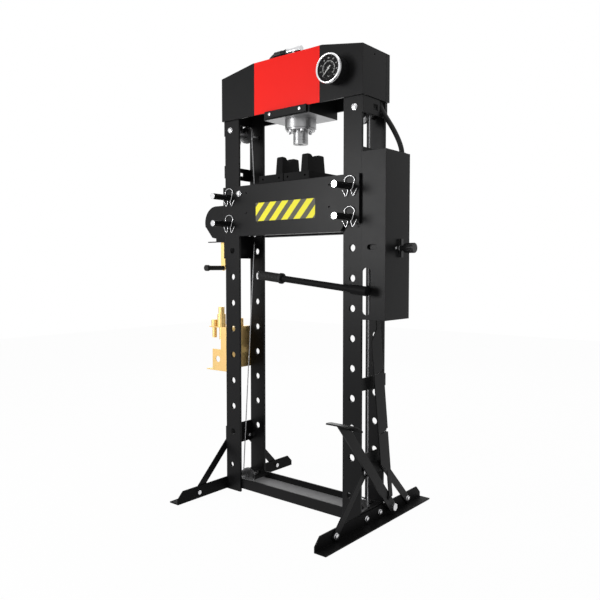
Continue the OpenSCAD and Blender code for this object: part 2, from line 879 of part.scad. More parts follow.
module pump_plunger() {
    rod_top = pump_z[0] + 50;
    eye_z = [pivot[1] - 13, pivot[1] + 13];
    color(steel) difference() {
        union() {
            box([plunger_x - 16, plunger_x + 12], [plunger_y - 6, plunger_y + 6], eye_z);
            translate([plunger_x, plunger_y, eye_z[1] - eps]) cylinder(r = plunger_r, h = rod_top - eye_z[1]);
        }
        translate([plunger_x - 11, plunger_y - 7, pivot[1] - 6]) cube([17, 14, 12]);
    }
}

// Pump handle: a socket on the pivot shaft, the tube in it and the grip
module at_handle() {
    translate([pivot[0], handle_y, pivot[1]]) rotate([0, handle_tilt, 0]) children();
}
module handle_socket() {
    color(paint) {
        at_handle() difference() {
            bar_x(handle_d / 2 + socket_wall, -socket_back, socket_front);
            bar_x(handle_d / 2 + slack, -socket_back - 1, socket_bore);
        }
        translate([pivot[0], 0, pivot[1]]) {
            bar_y(hub_r, handle_y + handle_d / 2 + 2, crank_y[1]);
            bar_y(shaft_r, crank_y[1] - eps, shaft_end_y);
            across_y(crank_y[0], crank_y[1]) union() {
                circle(crank_w);
                translate([0, -crank_w / 2]) square([crank_arm, crank_w]);
                translate([crank_arm, 0]) circle(crank_w / 2);
            }
        }
    }
    color(steel) translate([plunger_x, 0, pivot[1]]) bar_y(crank_pin_r, crank_y[1] - eps, plunger_y + 5);
}
module handle_tube() {
    color(paint) at_handle() bar_x(handle_d / 2, -handle_l, socket_bore - 1);
}
module handle_grip() {
    from = grip_off - handle_l;
    color(paint) at_handle() difference() {
        union() {
            bar_x(grip_d / 2, from, from + grip_l);
            bar_x(grip_d / 2 + grip_rim, from + grip_l - grip_off, from + grip_l);
        }
        bar_x(handle_d / 2 + slack, -handle_l, 0);
    }
}
module release_knob() {
    neck = box_out + knob_gap + wing_t;
    color(paint) translate([0, knob[0], knob[1]]) {
        bar_x(knob_shaft_r, tank_x - knob_in, neck + neck_l);
        box([box_out + knob_gap, neck], [-wing_w / 2, wing_w / 2], [-wing_l / 2, wing_l / 2]);
        bar_x(neck_r, neck - eps, neck + neck_l);
        bar_x(knob_r, neck + neck_l - eps, neck + neck_l + knob_l);
    }
}

// Foot pedal: a slanting arm with a curved pad, on a bolt through the right foot
module at_pad() {
    translate(pedal_top) rotate(pad_angle) translate([0, -pad_r]) children();
}
module pad_sector() {
    polygon([[0, 0], [-pad_back, pad_reach], [pad_front, pad_reach]]);
}
module pedal() {
    run = pedal_top - pedal_pivot;
    color(paint) difference() {
        union() {
            across_x(arm_x, arm_x + arm_t) difference() {
                translate(pedal_pivot) rotate(atan2(run[1], run[0])) {
                    circle(arm_w / 2);
                    translate([0, -arm_w / 2]) square([norm(run) + arm_over, arm_w]);
                }
                at_pad() difference() {
                    pad_sector();
                    circle(pad_r + pad_t / 2);
                }
            }
            translate([arm_x + pad_off - pad_w / 2, 0, 0]) across_x(0, pad_w) at_pad() intersection() {
                difference() {
                    circle(pad_r + pad_t);
                    circle(pad_r);
                }
                pad_sector();
            }
        }
        hole_x(pedal_pivot[0], pedal_pivot[1], 2 * (pedal_shank_r + fit));
    }
    color(steel) translate([0, pedal_stud[0], pedal_stud[1]])
        bar_x(stud_r, arm_x + arm_t - eps, rod_x + eye_t / 2 + 2);
}
module pedal_pivot_bolt() {
    out = arm_x + arm_t;
    color(steel) translate([0, pedal_pivot[0], pedal_pivot[1]]) {
        bar_x(pedal_shank_r, post_out - pedal_nut_h - 2, out + 1);
        bar_x(pedal_nut_r, plate_out, arm_x - slack);
        bar_x(pedal_nut_r + 1, out + slack, out + pedal_nut_h, $fn = 6);
        bar_x(pedal_nut_r, post_out - pedal_nut_h, post_out, $fn = 6);
    }
}

// Pull rod from the pedal to the pump: a flat plate with two slits from its rear edge
module at_rod() {
    translate([0, pedal_stud[0], pedal_stud[1]]) rotate([rod_lean, 0, 0]) children();
}
module pull_rod() {
    half = (rod_edge[1] - rod_edge[0]) / 2;
    side = [rod_x - eye_t / 2, rod_x + eye_t / 2];
    color(paint) at_rod() difference() {
        across_x(side[0], side[1]) difference() {
            union() {
                circle(eye_r);
                polygon([[rod_edge[0], 0], [rod_edge[1], 0], [rod_edge[1], rod_l], [rod_edge[0], rod_l],
                         [rod_edge[0], rod_wide_z[1] + arm_w], [rod_wide, rod_wide_z[1]],
                         [rod_wide, rod_wide_z[0]], [rod_edge[0], rod_wide_z[0] - arm_w]]);
                translate([rod_edge[0] + half, rod_l]) circle(half);
            }
            for (z = rod_notch) {
                translate([rod_edge[1] - rod_notch_in, z]) square([rod_notch_in + 1, rod_notch_h]);
                translate([rod_edge[1] - rod_slit[1], z + (rod_notch_h - rod_slit[0]) / 2])
                    square([rod_slit[1], rod_slit[0]]);
            }
        }
        bar_x(stud_r + fit, side[0] - 1, side[1] + 1);
        translate([0, rod_edge[0] + half, rod_l]) bar_x(rod_eye_r, side[0] - 1, side[1] + 1);
    }
}

// Winch for the bed, on the left carrier plate
module winch_cheek(y) {
    color(paint) difference() {
        across_y(y, y + cheek_t) union() {
            translate([-cheek_x, winch_z]) circle(cheek_r);
            translate([-cheek_x, winch_z - cheek_r]) square([cheek_x - plate_out - cheek_t, 2 * cheek_r]);
        }
        across_y(y - 1, y + cheek_t + 1) translate([-cheek_x, winch_z])
            polygon([cheek_cut[0], cheek_cut[1],
                     [cheek_cut[1][0], -2 * cheek_r], [-2 * cheek_r, cheek_cut[0][1]]]);
        hole_y(-winch_x, winch_z, 2 * (winch_shaft_r + fit));
    }
}
module winch_frame() {
    z = [winch_z - cheek_r - winch_drop, winch_z + cheek_r];
    front = [winch_y[0], winch_y[0] + cheek_t];
    back = -plate_out - cheek_t;
    winch_cheek(front[0]);
    winch_cheek(winch_y[1] - cheek_t);
    color(paint) {
        box([back - eps, -plate_out], winch_y, [carrier_plate[0] + winch_seat, z[1]]);
        box([-cheek_x - winch_lip[0], back], [front[0] - winch_lip[1], front[1]], [z[0], z[0] + cheek_t]);
        box([-cheek_x, back], front, [z[0], winch_z - cheek_r + eps]);
        box([-plate_out - winch_leg, back], front, [carrier_plate[0], z[0] + eps]);
    }
}
module winch_drum() {
    y = [lever_y[1] + 2, winch_y[1] - cheek_t - 1];
    color(paint) translate([-winch_x, 0, winch_z]) {
        bar_y(winch_shaft_r, winch_y[0] - shaft_tip, winch_y[1] + shaft_tip);
        bar_y(drum_r, y[0], y[1]);
        bar_y(drum_flange_r, y[0], y[0] + drum_flange_t);
        bar_y(drum_flange_r, y[1] - drum_flange_t, y[1]);
    }
}
module winch_lever() {
    color(zinc) translate([-winch_x, 0, winch_z]) {
        difference() {
            union() {
                across_y(lever_y[0], lever_y[1]) union() {
                    circle(lever_eye_r);
                    translate([-lever_w / 2, -lever_l]) square([lever_w, lever_l]);
                    translate([0, -lever_l]) circle(lever_w / 2);
                }
                bar_y(winch_shaft_r + lever_washer, winch_y[0] + cheek_t + 1, lever_y[0] + eps);
            }
            bar_y(winch_shaft_r + fit, winch_y[0], lever_y[1] + 1);
        }
        translate([0, 0, -lever_l])
            bar_y(lever_pin_r, lever_y[0] - lever_grip_l + lever_tip + 1, lever_y[0] + eps);
    }
}
module winch_grip() {
    y = lever_y[0];
    color(paint) translate([-winch_x, 0, winch_z - lever_l]) difference() {
        union() {
            bar_y(lever_grip_r, y - lever_grip_l, y - lever_gap);
            bar_y(lever_grip_r + lever_tip, y - lever_grip_l, y - lever_grip_l + lever_knob_l);
        }
        bar_y(lever_pin_r + slack, y - lever_grip_l + lever_tip, y + 1);
    }
}

// Wire ropes, the sheaves they run over and the axles
rope_x = bed_tie_x - bed_tie_t / 2;
rope_foot = bed_top - bed_h + bed_tie_low;
rope_head = bed_top - bed_tie_down;
wind_r = drum_r + rope_d / 2 + slack;
sheave_at = [
    [-sheave_x, top_sheave_z], [-sheave_x, low_sheave_z],
    [sheave_x, low_sheave_z], [sheave_x, top_sheave_z]];
drum_at = [-winch_x, winch_z];
wind_run = drum_at - sheave_at[0];
wind_a = 270 + atan2(wind_run[1], wind_run[0]) - asin((wind_r - sheave_r) / norm(wind_run));
lift_path = concat(
    [[-rope_x, 0, rope_head + slack]],
    arc(sheave_at[0], sheave_r, tangent(sheave_at[0], sheave_r, [-rope_x, rope_head], 1), wind_a, 14),
    arc(drum_at, wind_r, wind_a, wind_a + 150, 14));
level_path = concat(
    [[-rope_x, 0, rope_foot - slack]],
    arc(sheave_at[1], sheave_r, tangent(sheave_at[1], sheave_r, [-rope_x, rope_foot], 1), 270, 10),
    arc(sheave_at[2], sheave_r, 270, 360, 10),
    arc(sheave_at[3], sheave_r, 0, 360 + tangent(sheave_at[3], sheave_r, [rope_x, rope_head], -1), 16),
    [[rope_x, 0, rope_head + slack]]);
module lift_rope() {
    color(steel) sweep(lift_path, rope_d / 2, [0, 1, 0], 8);
}
module level_rope() {
    color(steel) sweep(level_path, rope_d / 2, [0, 1, 0], 8);
}
module sheave() {
    groove = sheave_r - rope_d / 2 - slack;
    rotate([90, 0, 0]) rotate_extrude() polygon([
        [axle_d / 2 + slack, -sheave_w / 2], [groove + sheave_rim, -sheave_w / 2], [groove, -groove_half],
        [groove, groove_half], [groove + sheave_rim, sheave_w / 2], [axle_d / 2 + slack, sheave_w / 2]]);
}
module rope_sheaves() {
    color(paint) both_sides() for (z = [low_sheave_z, top_sheave_z]) translate([sheave_x, 0, z]) sheave();
}
module sheave_axles() {
    color(paint) both_sides() for (z = [low_sheave_z, top_sheave_z]) translate([sheave_x, 0, z]) {
        bar_y(axle_d / 2, -yi, yi);
        for (s = [-1, 1]) translate([0, s * (sheave_w / 2 + 1 + collar_w / 2), 0])
            bar_y(axle_d / 2 + collar_h, -collar_w / 2, collar_w / 2);
    }
}

// Rack on the left side with press adapters standing in its shelf
module adapter_rack() {
    wing = [wing_y - rack_t, wing_y];
    low = rack_z[0] - wing_drop;
    color(zinc) difference() {
        union() {
            box([-post_out - rack_t, -post_out], [-yo, yo], rack_z);
            box([-shelf_out, -post_out - rack_t + eps], shelf_y, [rack_z[1] - rack_t, rack_z[1]]);
            box([-plate_out - wing_in, -post_out - rack_t + eps], wing, [low, rack_z[1]]);
            box([-plate_out - wing_out, eps - plate_out - wing_in], wing, [low, rack_z[0] + wing_h]);
            box([-plate_out - tab_x[1], -plate_out - tab_x[0]], [wing[0], wing_y + tab_w],
                [low, low + rack_t]);
        }
        for (i = [0:2]) translate([-adapter_x[i], adapter_y[i], rack_z[1] - 2 * rack_t])
            cylinder(d = stem_d + 2 * slack, h = 4 * rack_t);
        hole_y(-plate_out - wing_hole[0], rack_z[0] + wing_hole[1], wing_hole_d);
    }
}
module adapter(i, head_d, head_h, tip_d, tip_h, stem_l) {
    color(zinc) translate([-adapter_x[i], adapter_y[i], rack_z[1]]) {
        cylinder(d = head_d, h = head_h);
        translate([0, 0, head_h - eps]) cylinder(d = tip_d, h = tip_h);
        translate([0, 0, -stem_l]) cylinder(d = stem_d, h = stem_l + eps);
    }
}
module tall_adapter() { adapter(0, 37, 55, 27, 31, 56); }
module short_adapter() { adapter(1, 29, 27, 24, 2, 50); }
module small_adapter() { adapter(2, 30, 32, 24, 2, 40); }

front_left_post();
front_right_post();
rear_left_post();
rear_right_post();
left_foot();
right_foot();
left_braces();
right_braces();
base_beam();
neck_plates();
frame_plates();
low_plates();
frame_bolts();
head_front();
head_rear();
carriage();
carriage_clamp();
cylinder_flange();
cylinder_tube();
ram();
gauge_case();
gauge_bezel();
gauge_dial();
gauge_needle();
gauge_glass();
pressure_hose();
hose_coupler();
bed_front();
bed_rear();
bed_ties();
bed_bolt();
bed_pins();
pin_clips();
left_block();
right_block();
pump_housing();
oil_tank();
pump_block();
pump_plunger();
handle_socket();
handle_tube();
handle_grip();
release_knob();
pedal();
pedal_pivot_bolt();
pull_rod();
winch_frame();
winch_drum();
winch_lever();
winch_grip();
lift_rope();
level_rope();
rope_sheaves();
sheave_axles();
adapter_rack();
tall_adapter();
short_adapter();
small_adapter();
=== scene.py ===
"""Finishes, small fittings and a studio stage for a workshop press."""

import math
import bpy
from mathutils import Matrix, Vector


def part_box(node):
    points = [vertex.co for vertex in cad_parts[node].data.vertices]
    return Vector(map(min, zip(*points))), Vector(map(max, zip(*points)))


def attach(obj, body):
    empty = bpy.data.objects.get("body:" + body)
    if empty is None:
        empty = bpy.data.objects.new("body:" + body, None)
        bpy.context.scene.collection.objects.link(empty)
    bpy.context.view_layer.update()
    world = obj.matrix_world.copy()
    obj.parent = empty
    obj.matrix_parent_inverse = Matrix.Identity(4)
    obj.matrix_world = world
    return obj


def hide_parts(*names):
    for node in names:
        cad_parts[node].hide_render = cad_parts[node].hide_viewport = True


bl_info = {
    "name": "Workshop Press Looks",
    "version": (1, 0, 0),
    "blender": (4, 5, 0),
    "location": "3D View > Sidebar > Press",
    "description": "Finishes, small fittings and a studio stage for a workshop press",
    "category": "Object",
}

import bmesh
import bpy
from bpy.props import FloatProperty, FloatVectorProperty, IntProperty, PointerProperty
from mathutils import Matrix, Vector

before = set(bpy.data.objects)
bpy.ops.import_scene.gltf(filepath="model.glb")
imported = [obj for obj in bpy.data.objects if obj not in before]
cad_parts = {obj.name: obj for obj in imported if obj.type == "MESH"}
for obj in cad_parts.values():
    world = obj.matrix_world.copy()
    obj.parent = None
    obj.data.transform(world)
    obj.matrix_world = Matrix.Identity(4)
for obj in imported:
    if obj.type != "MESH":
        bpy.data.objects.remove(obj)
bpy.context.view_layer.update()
FULL_TURN = 2 * math.pi
# Edges that turn by more than this stay sharp.
SHARP = math.radians(38)
# Points nearer to each other than this are one point.
DOUBLES = 1e-5
# Print on a front face reaches this far back.
PRINT_DEPTH = 0.0008
# The dial's scale: first angle and sweep in degrees, rise from number to number, radius of ticks and numbers.
SCALE_START, SCALE_SWEEP, SCALE_STEP, TICK_RING, FIGURE_RING = 225, 270, 100, 0.0256, 0.0362
# From the dial's back to the print, and the print's thickness.
DIAL_FACE, INK = 0.00405, 0.0002
# The hose: its Y at the coupler, its axis below the coupler's top, and where it enters the pump housing.
HOSE_Y, HOSE_DROP, HOSE_ENTRY = -0.04, 0.014, (0.427, 0.062)
# Rope ends on the bed's ties: distance from the middle, and the rope's direction above and below.
TIE_X, ROPE_UP, ROPE_DOWN = 0.253, (0.073, 0, 0.997), (0.07, 0, -0.997)
# Drum turns: radius and pitch of the turns, radius of the wire, and which turns are there.
TURN_R, TURN_PITCH, WIRE_R, TURNS = 0.0367, 0.0053, 0.0024, (-4, -3, -2, -1, 1, 2)
# Bolts with a washer. Those on the sides are repeated left and right, front and rear.
SIDE_BOLTS = ((0.352, 0.045, 0.025), (0.357, 0.242, 0.025), (0.357, 0.06015, 0.20685))
FRONT_BOLTS = ((-0.315, -0.08, 1.526), (0.315, -0.08, 1.526), (-0.253, -0.094, 1.257))
# The pump handle's hinge, and how far the handle droops at rest.
HANDLE_HINGE, HANDLE_DROOP = (0.375, -0.118, 0.871), math.radians(6)
# On the pump housing: X of its outer side, Y of the knob and of the screw beside it, and Z of both.
HOUSING_SIDE, KNOB_Y, SCREW_Y, KNOB_Z = 0.449, 0.014, -0.012, 1.022
# Lamps: name, place, aim, width in metres and power in watts.
LAMPS = (
    ("key", (-1.44, -3.1, 1.46), (0, 0, 1.0), 1.2, 76),
    ("fill", (2.6, -2.4, 2.4), (0, 0, 0.9), 2.0, 6),
    ("top", (0.2, 0.6, 3.6), (0, 0, 1.2), 2.4, 26),
    ("back", (-2.2, 2.8, 2.0), (0, 0, 1.0), 2.0, 24),
)


def colour_prop(name, description, default):
    """A colour setting."""
    return FloatVectorProperty(
        name=name, description=description, default=default, subtype="COLOR", size=3, min=0, max=1)


def length_prop(name, description, default):
    """A length setting in metres."""
    return FloatProperty(
        name=name, description=description, default=default, unit="LENGTH", subtype="DISTANCE", precision=4)


class PressFinish(bpy.types.PropertyGroup):
    """Colours of the paints, metals, rubber and print."""

    black: colour_prop("Black", "Satin powder coat", (0.0068, 0.0068, 0.0072))
    black_pale: colour_prop("Pale black", "Paler clouds in the powder coat", (0.0105, 0.0105, 0.011))
    # Paler colour at the edges: partly wear, partly a painted highlight along them.
    rubbed_and_highlight: colour_prop("Rubbed edge", "Powder coat rubbed at the edges", (0.075, 0.075, 0.078))
    red: colour_prop("Red", "Panel on the head", (0.93, 0.02, 0.015))
    yellow: colour_prop("Yellow", "Bright bars of the hazard band", (0.96, 0.87, 0.055))
    grey: colour_prop("Grey", "Dull bars of the hazard band", (0.1, 0.1, 0.092))
    primer: colour_prop("Primer", "Grey inside the base beam", (0.3, 0.3, 0.305))
    steel: colour_prop("Steel", "Bare and plated steel", (0.64, 0.64, 0.65))
    zinc: colour_prop("Yellow zinc", "Passivated lever, rack and adapters", (0.78, 0.54, 0.18))
    zinc_warm: colour_prop("Warm zinc", "Pink bloom in the passivation", (0.8, 0.45, 0.22))
    rubber: colour_prop("Rubber", "Hose and grips", (0.011, 0.011, 0.011))
    white: colour_prop("White", "Needle and print of the dial", (0.86, 0.86, 0.85))


class PressFittings(bpy.types.PropertyGroup):
    """Sizes of the print and of the small fittings."""

    panel_left: length_prop("Panel left", "Left edge of the red panel", -0.169)
    panel_right: length_prop("Panel right", "Right edge of the red panel", 0.163)
    band_left: length_prop("Band left", "Left end of the hazard band", -0.158)
    band_right: length_prop("Band right", "Right end of the hazard band", 0.1465)
    band_low: length_prop("Band low", "Lower edge of the hazard band", 1.1395)
    band_high: length_prop("Band high", "Upper edge of the hazard band", 1.213)
    band_pitch: length_prop("Bar pitch", "Pitch of the bars in the hazard band", 0.0624)
    band_start: length_prop("Bar start", "Where a bright bar starts on the lower edge", -0.1478)
    band_lean: FloatProperty(name="Bar lean", description="Run of a bar for each unit of rise", default=0.926)
    band_share: FloatProperty(name="Bright share", description="Bright part of the pitch", default=0.53)
    scale_steps: IntProperty(name="Scale steps", description="Numbered steps on the dial", default=8, min=4)
    figure: length_prop("Figure height", "Height of the numbers on the dial", 0.00527)
    unit: length_prop("Unit height", "Height of the unit's name on the dial", 0.0062)
    unit_drop: length_prop("Unit drop", "How far the unit's name is below the middle of the dial", 0.0275)
    bezel_wall: length_prop("Bezel wall", "Width of the gauge's bright ring", 0.0073)
    washer_r: length_prop("Washer radius", "Outer radius of the bolt washers", 0.0118)
    washer_bore: length_prop("Washer bore", "Inner radius of the bolt washers", 0.0055)
    washer_t: length_prop("Washer thickness", "Thickness of the bolt washers", 0.0018)
    screw_r: length_prop("Flange screw radius", "Head radius of the screws under the cylinder", 0.0066)
    screw_h: length_prop("Flange screw height", "Head height of the screws under the cylinder", 0.0075)
    rib_pitch: length_prop("Rib pitch", "Pitch of the ribs on the handle grip", 0.0075)
    knob_r: length_prop("Knob radius", "Outer radius of the knob's sleeve", 0.0182)
    flutes: IntProperty(name="Knob flutes", description="Flutes round the release knob", default=22, min=8)
    sleeve_l: length_prop("Rope sleeve", "Length of the pressed sleeves on the rope ends", 0.02)


class PressStage(bpy.types.PropertyGroup):
    """Camera, floor and lamps."""

    eye: FloatVectorProperty(
        name="Camera place", description="Where the camera stands", default=(1.671, -2.032, 0.950),
        subtype="TRANSLATION", unit="LENGTH")
    pitch: FloatProperty(
        name="Camera pitch", description="Camera's turn about its own X", subtype="ANGLE",
        default=math.radians(87.216))
    heading: FloatProperty(
        name="Camera heading", description="Camera's turn about Z", subtype="ANGLE",
        default=math.radians(39.494))
    sensor: FloatProperty(name="Sensor", description="Width of the sensor", default=36, unit="CAMERA")
    lens: FloatProperty(name="Lens", description="Focal length on that sensor", default=39.246, unit="CAMERA")
    floor: length_prop("Floor", "Width of the floor", 14.0)
    floor_drop: length_prop("Floor drop", "How far the floor is below the feet", 0.0005)
    floor_glow: FloatProperty(
        name="Floor glow", description="How far the floor hides its shadow", default=0.975, min=0, max=1)
    ambient: FloatProperty(name="Ambient", description="Strength of the even light", default=0.25, min=0)


class Sock:
    """A shader output that works in Python sums; each sum adds a Math node."""

    def __init__(self, board, out):
        self.board, self.out = board, out

    def __add__(self, other):
        return self.board.maths("ADD", self, other)

    def __radd__(self, other):
        return self.board.maths("ADD", other, self)

    def __sub__(self, other):
        return self.board.maths("SUBTRACT", self, other)

    def __rsub__(self, other):
        return self.board.maths("SUBTRACT", other, self)

    def __mul__(self, other):
        return self.board.maths("MULTIPLY", self, other)

    def __rmul__(self, other):
        return self.board.maths("MULTIPLY", other, self)

    def __truediv__(self, other):
        return self.board.maths("DIVIDE", self, other)

    def __lt__(self, other):
        return self.board.maths("LESS_THAN", self, other)

    def __gt__(self, other):
        return self.board.maths("GREATER_THAN", self, other)

    def __abs__(self):
        return self.board.maths("ABSOLUTE", self)


class Board:
    """A node tree that is built from Python."""

    def __init__(self, tree):
        self.tree = tree

    def node(self, kind, settings=None, sockets=None):
        """Adds one node, sets it up, then fills or links its sockets."""
        made = self.tree.nodes.new(kind)
        for key, value in (settings or {}).items():
            setattr(made, key, value)
        for key, value in (sockets or {}).items():
            self.fill(made.inputs[key], value)
        return made

    def fill(self, socket, value):
        """Links a socket to an output, or sets its own value."""
        if isinstance(value, Sock):
            self.tree.links.new(value.out, socket)
        elif socket.type == "RGBA":
            socket.default_value = (*value[:3], 1)
        else:
            socket.default_value = value

    def maths(self, operation, *values):
        """One Math node."""
        made = self.node("ShaderNodeMath", {"operation": operation}, dict(enumerate(values)))
        return Sock(self, made.outputs[0])

    def seen(self):
        """1 for rays from the camera, a reflection or a clear cover, and 0 for light."""
        rays = self.node("ShaderNodeLightPath").outputs
        direct = self.maths("MAXIMUM", Sock(self, rays["Is Camera Ray"]), Sock(self, rays["Is Glossy Ray"]))
        return self.maths("MAXIMUM", direct, Sock(self, rays["Is Transmission Ray"]))


def shaded(colour, factor):
    """A colour made lighter or darker."""
    return [min(1, c * factor) for c in colour]


class Look(Board):
    """A material with one Principled shader on Object coordinates."""

    def __init__(self, name, fixed):
        self.material = bpy.data.materials.new(name)
        self.material.use_nodes = True
        super().__init__(self.material.node_tree)
        self.shader = next(n for n in self.tree.nodes if n.type == "BSDF_PRINCIPLED")
        self.place = Sock(self, self.node("ShaderNodeTexCoord").outputs["Object"])
        for key, value in fixed.items():
            self.fill(self.shader.inputs[key], value)

    def axes(self):
        """X, Y and Z of the point that is shaded."""
        return [Sock(self, out) for out in self.node("ShaderNodeSeparateXYZ", None, {0: self.place}).outputs]

    def facing(self):
        """X, Y and Z of the face's own direction."""
        normal = Sock(self, self.node("ShaderNodeNewGeometry").outputs["True Normal"])
        return [Sock(self, out) for out in self.node("ShaderNodeSeparateXYZ", None, {0: normal}).outputs]

    def noise(self, scale, detail=2.0, stretch=(1, 1, 1)):
        """Soft noise, drawn out along the axes."""
        place = self.node("ShaderNodeMapping", None, {"Vector": self.place, "Scale": stretch})
        made = self.node("ShaderNodeTexNoise", None, {
            "Vector": Sock(self, place.outputs[0]), "Scale": scale, "Detail": detail})
        return Sock(self, made.outputs[0])

    def blend(self, factor, first, second):
        """Colour that goes from first to second."""
        made = self.node("ShaderNodeMix", {"data_type": "RGBA"}, {0: factor, 6: first, 7: second})
        return Sock(self, made.outputs[2])

    def rounded(self, radius):
        """Normal with softened edges, and how near a point is to such an edge."""
        soft = Sock(self, self.node("ShaderNodeBevel", {"samples": 6}, {"Radius": radius}).outputs[0])
        flat = Sock(self, self.node("ShaderNodeNewGeometry").outputs["Normal"])
        dot = self.node("ShaderNodeVectorMath", {"operation": "DOT_PRODUCT"}, {0: soft, 1: flat})
        near = (1 - Sock(self, dot.outputs["Value"])) * 4
        return soft, self.maths("MINIMUM", near, 1.0)

    def bump(self, height, distance, normal=None):
        """Normal with a fine relief on it."""
        sockets = {"Height": height, "Distance": distance, "Strength": 1.0}
        if normal is not None:
            sockets["Normal"] = normal
        return Sock(self, self.node("ShaderNodeBump", None, sockets).outputs[0])

    def wear(self, colour, roughness, normal, metallic=None):
        """Feeds the shader and gives the material."""
        self.fill(self.shader.inputs["Base Color"], colour)
        self.fill(self.shader.inputs["Roughness"], roughness)
        self.fill(self.shader.inputs["Normal"], normal)
        if metallic is not None:
            self.fill(self.shader.inputs["Metallic"], metallic)
        return self.material


def powder_coat(name, print_on=None):
    """Satin powder coat: fine orange peel, cloudy sheen, and paler edges that are partly wear and partly a
    painted highlight, with print laid over it.
    """
    tints = bpy.context.scene.press_finish
    look = Look(name, {"Specular IOR Level": 0.09})
    peel, cloud, scuff = look.noise(430), look.noise(6, detail=5), look.noise(38, detail=4)
    soft, edge = look.rounded(radius=0.0016)
    colour = look.blend(cloud, tints.black, tints.black_pale)
    # Paler edges, patchy with scuffs: partly wear, partly a painted highlight.
    colour = look.blend(edge * scuff * 0.4, colour, tints.rubbed_and_highlight)
    roughness = 0.3 + cloud * 0.08 + scuff * 0.04
    metallic = None
    if print_on is not None:
        colour, roughness, metallic = print_on(look, tints, colour, roughness)
    return look.wear(colour, roughness, look.bump(peel, distance=0.00005, normal=soft), metallic)


def red_panel(look, tints, colour, roughness):
    """The bare red panel on the front of the head."""
    sizes = bpy.context.scene.press_fittings
    x, y, _ = look.axes()
    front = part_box("head_front")[0].y + PRINT_DEPTH
    panel = (x > sizes.panel_left) * (x < sizes.panel_right) * (y < front)
    tone = look.blend(look.noise(5, detail=3), shaded(tints.red, 0.94), tints.red)
    return look.blend(panel, colour, tone), roughness - panel * 0.04, None


def hazard_band(look, tints, colour, roughness):
    """Slanting bright and dull bars on the front of the bed."""
    sizes = bpy.context.scene.press_fittings
    x, y, z = look.axes()
    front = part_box("bed_front")[0].y + PRINT_DEPTH
    inside = ((x > sizes.band_left) * (x < sizes.band_right) * (z > sizes.band_low)
              * (z < sizes.band_high) * (y < front))
    # Counted from 20 bars further left, so that no count is negative.
    before = sizes.band_start - 20 * sizes.band_pitch
    run = x - (z - sizes.band_low) * sizes.band_lean - before
    part = look.maths("FRACT", run / sizes.band_pitch)
    olive = (0.3, 0.28, 0.1)
    grit = look.noise(900, detail=2)
    bars = look.blend(part < sizes.band_share, tints.grey, tints.yellow)
    bars = look.blend(grit * 0.16, bars, olive)
    return look.blend(inside, colour, bars), roughness + inside * 0.08, None


def pale_floor(look, tints, colour, roughness):
    """Grey primer on the floor inside the base beam."""
    _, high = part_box("base_beam")
    _, _, z = look.axes()
    rim = 0.004
    floor = (look.facing()[2] > 0.5) * (z < high.z - rim)
    tone = look.blend(look.noise(30, detail=4), shaded(tints.primer, 0.8), tints.primer)
    return look.blend(floor, colour, tone), roughness + floor * 0.15, None


def pale_under(look, tints, colour, roughness):
    """Machined grey face under the cylinder's carriage."""
    low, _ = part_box("carriage")
    _, _, z = look.axes()
    skin = 0.001
    under = (look.facing()[2] < -0.5) * (z < low.z + skin)
    grain = look.noise(24, detail=4, stretch=(1, 8, 1))
    tone = look.blend(grain, shaded(tints.steel, 0.45), shaded(tints.steel, 0.55))
    return look.blend(under, colour, tone), roughness + under * 0.02, under * 0.8


def bright_part(look, tints, colour, roughness, part):
    """Plated steel on one part of a painted piece."""
    return look.blend(part, colour, tints.steel), roughness - part * 0.14, part


def bright_screws(look, tints, colour, roughness):
    """Plated screws in the clamp bar."""
    bar = 0.0095
    _, y, _ = look.axes()
    return bright_part(look, tints, colour, roughness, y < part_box("carriage_clamp")[1].y - bar)


def bright_ends(look, tints, colour, roughness):
    """Bright steel ends on the pins, whose black sides are a painted dark reflection on the steel."""
    return bright_part(look, tints, colour, roughness, abs(look.facing()[1]) > 0.7)


def bright_coupler(look, tints, colour, roughness):
    """Plated right half of the hose coupler."""
    joint = -0.0322
    x, _, _ = look.axes()
    return bright_part(look, tints, colour, roughness, x > joint)


def bright_tip(look, tints, colour, roughness):
    """Bare upper end of the pull rod, inside the pump housing."""
    bare = 0.012
    _, _, z = look.axes()
    return bright_part(look, tints, colour, roughness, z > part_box("pull_rod")[1].z - bare)


def plated_steel(name, dull=0.2, turned=(1, 1, 1), shade=1.0):
    """Plated or turned steel with fine tool lines and a little tarnish."""
    tints = bpy.context.scene.press_finish
    look = Look(name, {"Metallic": 1.0})
    lines, tarnish = look.noise(700, detail=3, stretch=turned), look.noise(26, detail=4)
    soft, edge = look.rounded(radius=0.0007)
    base = shaded(tints.steel, shade)
    colour = look.blend(tarnish, shaded(base, 0.82), base)
    # Brighter edges: a painted highlight.
    colour = look.blend(edge * 0.5, colour, shaded(base, 1.25))
    roughness = dull + lines * 0.1 + tarnish * 0.08
    return look.wear(colour, roughness, look.bump(lines, distance=0.00001, normal=soft))


def yellow_zinc(name):
    """Yellow passivated zinc with pink and olive bloom."""
    tints = bpy.context.scene.press_finish
    olive, pale = (0.72, 0.6, 0.22), (0.88, 0.72, 0.4)
    look = Look(name, {"Metallic": 0.85})
    bloom, cloud, grain = look.noise(34, detail=4), look.noise(9, detail=3), look.noise(600)
    soft, edge = look.rounded(radius=0.0008)
    colour = look.blend(bloom, tints.zinc, tints.zinc_warm)
    colour = look.blend(cloud * 0.6, colour, olive)
    # Paler edges: a painted highlight.
    colour = look.blend(edge * 0.5, colour, pale)
    return look.wear(colour, 0.3 + bloom * 0.16, look.bump(grain, distance=0.00002, normal=soft))


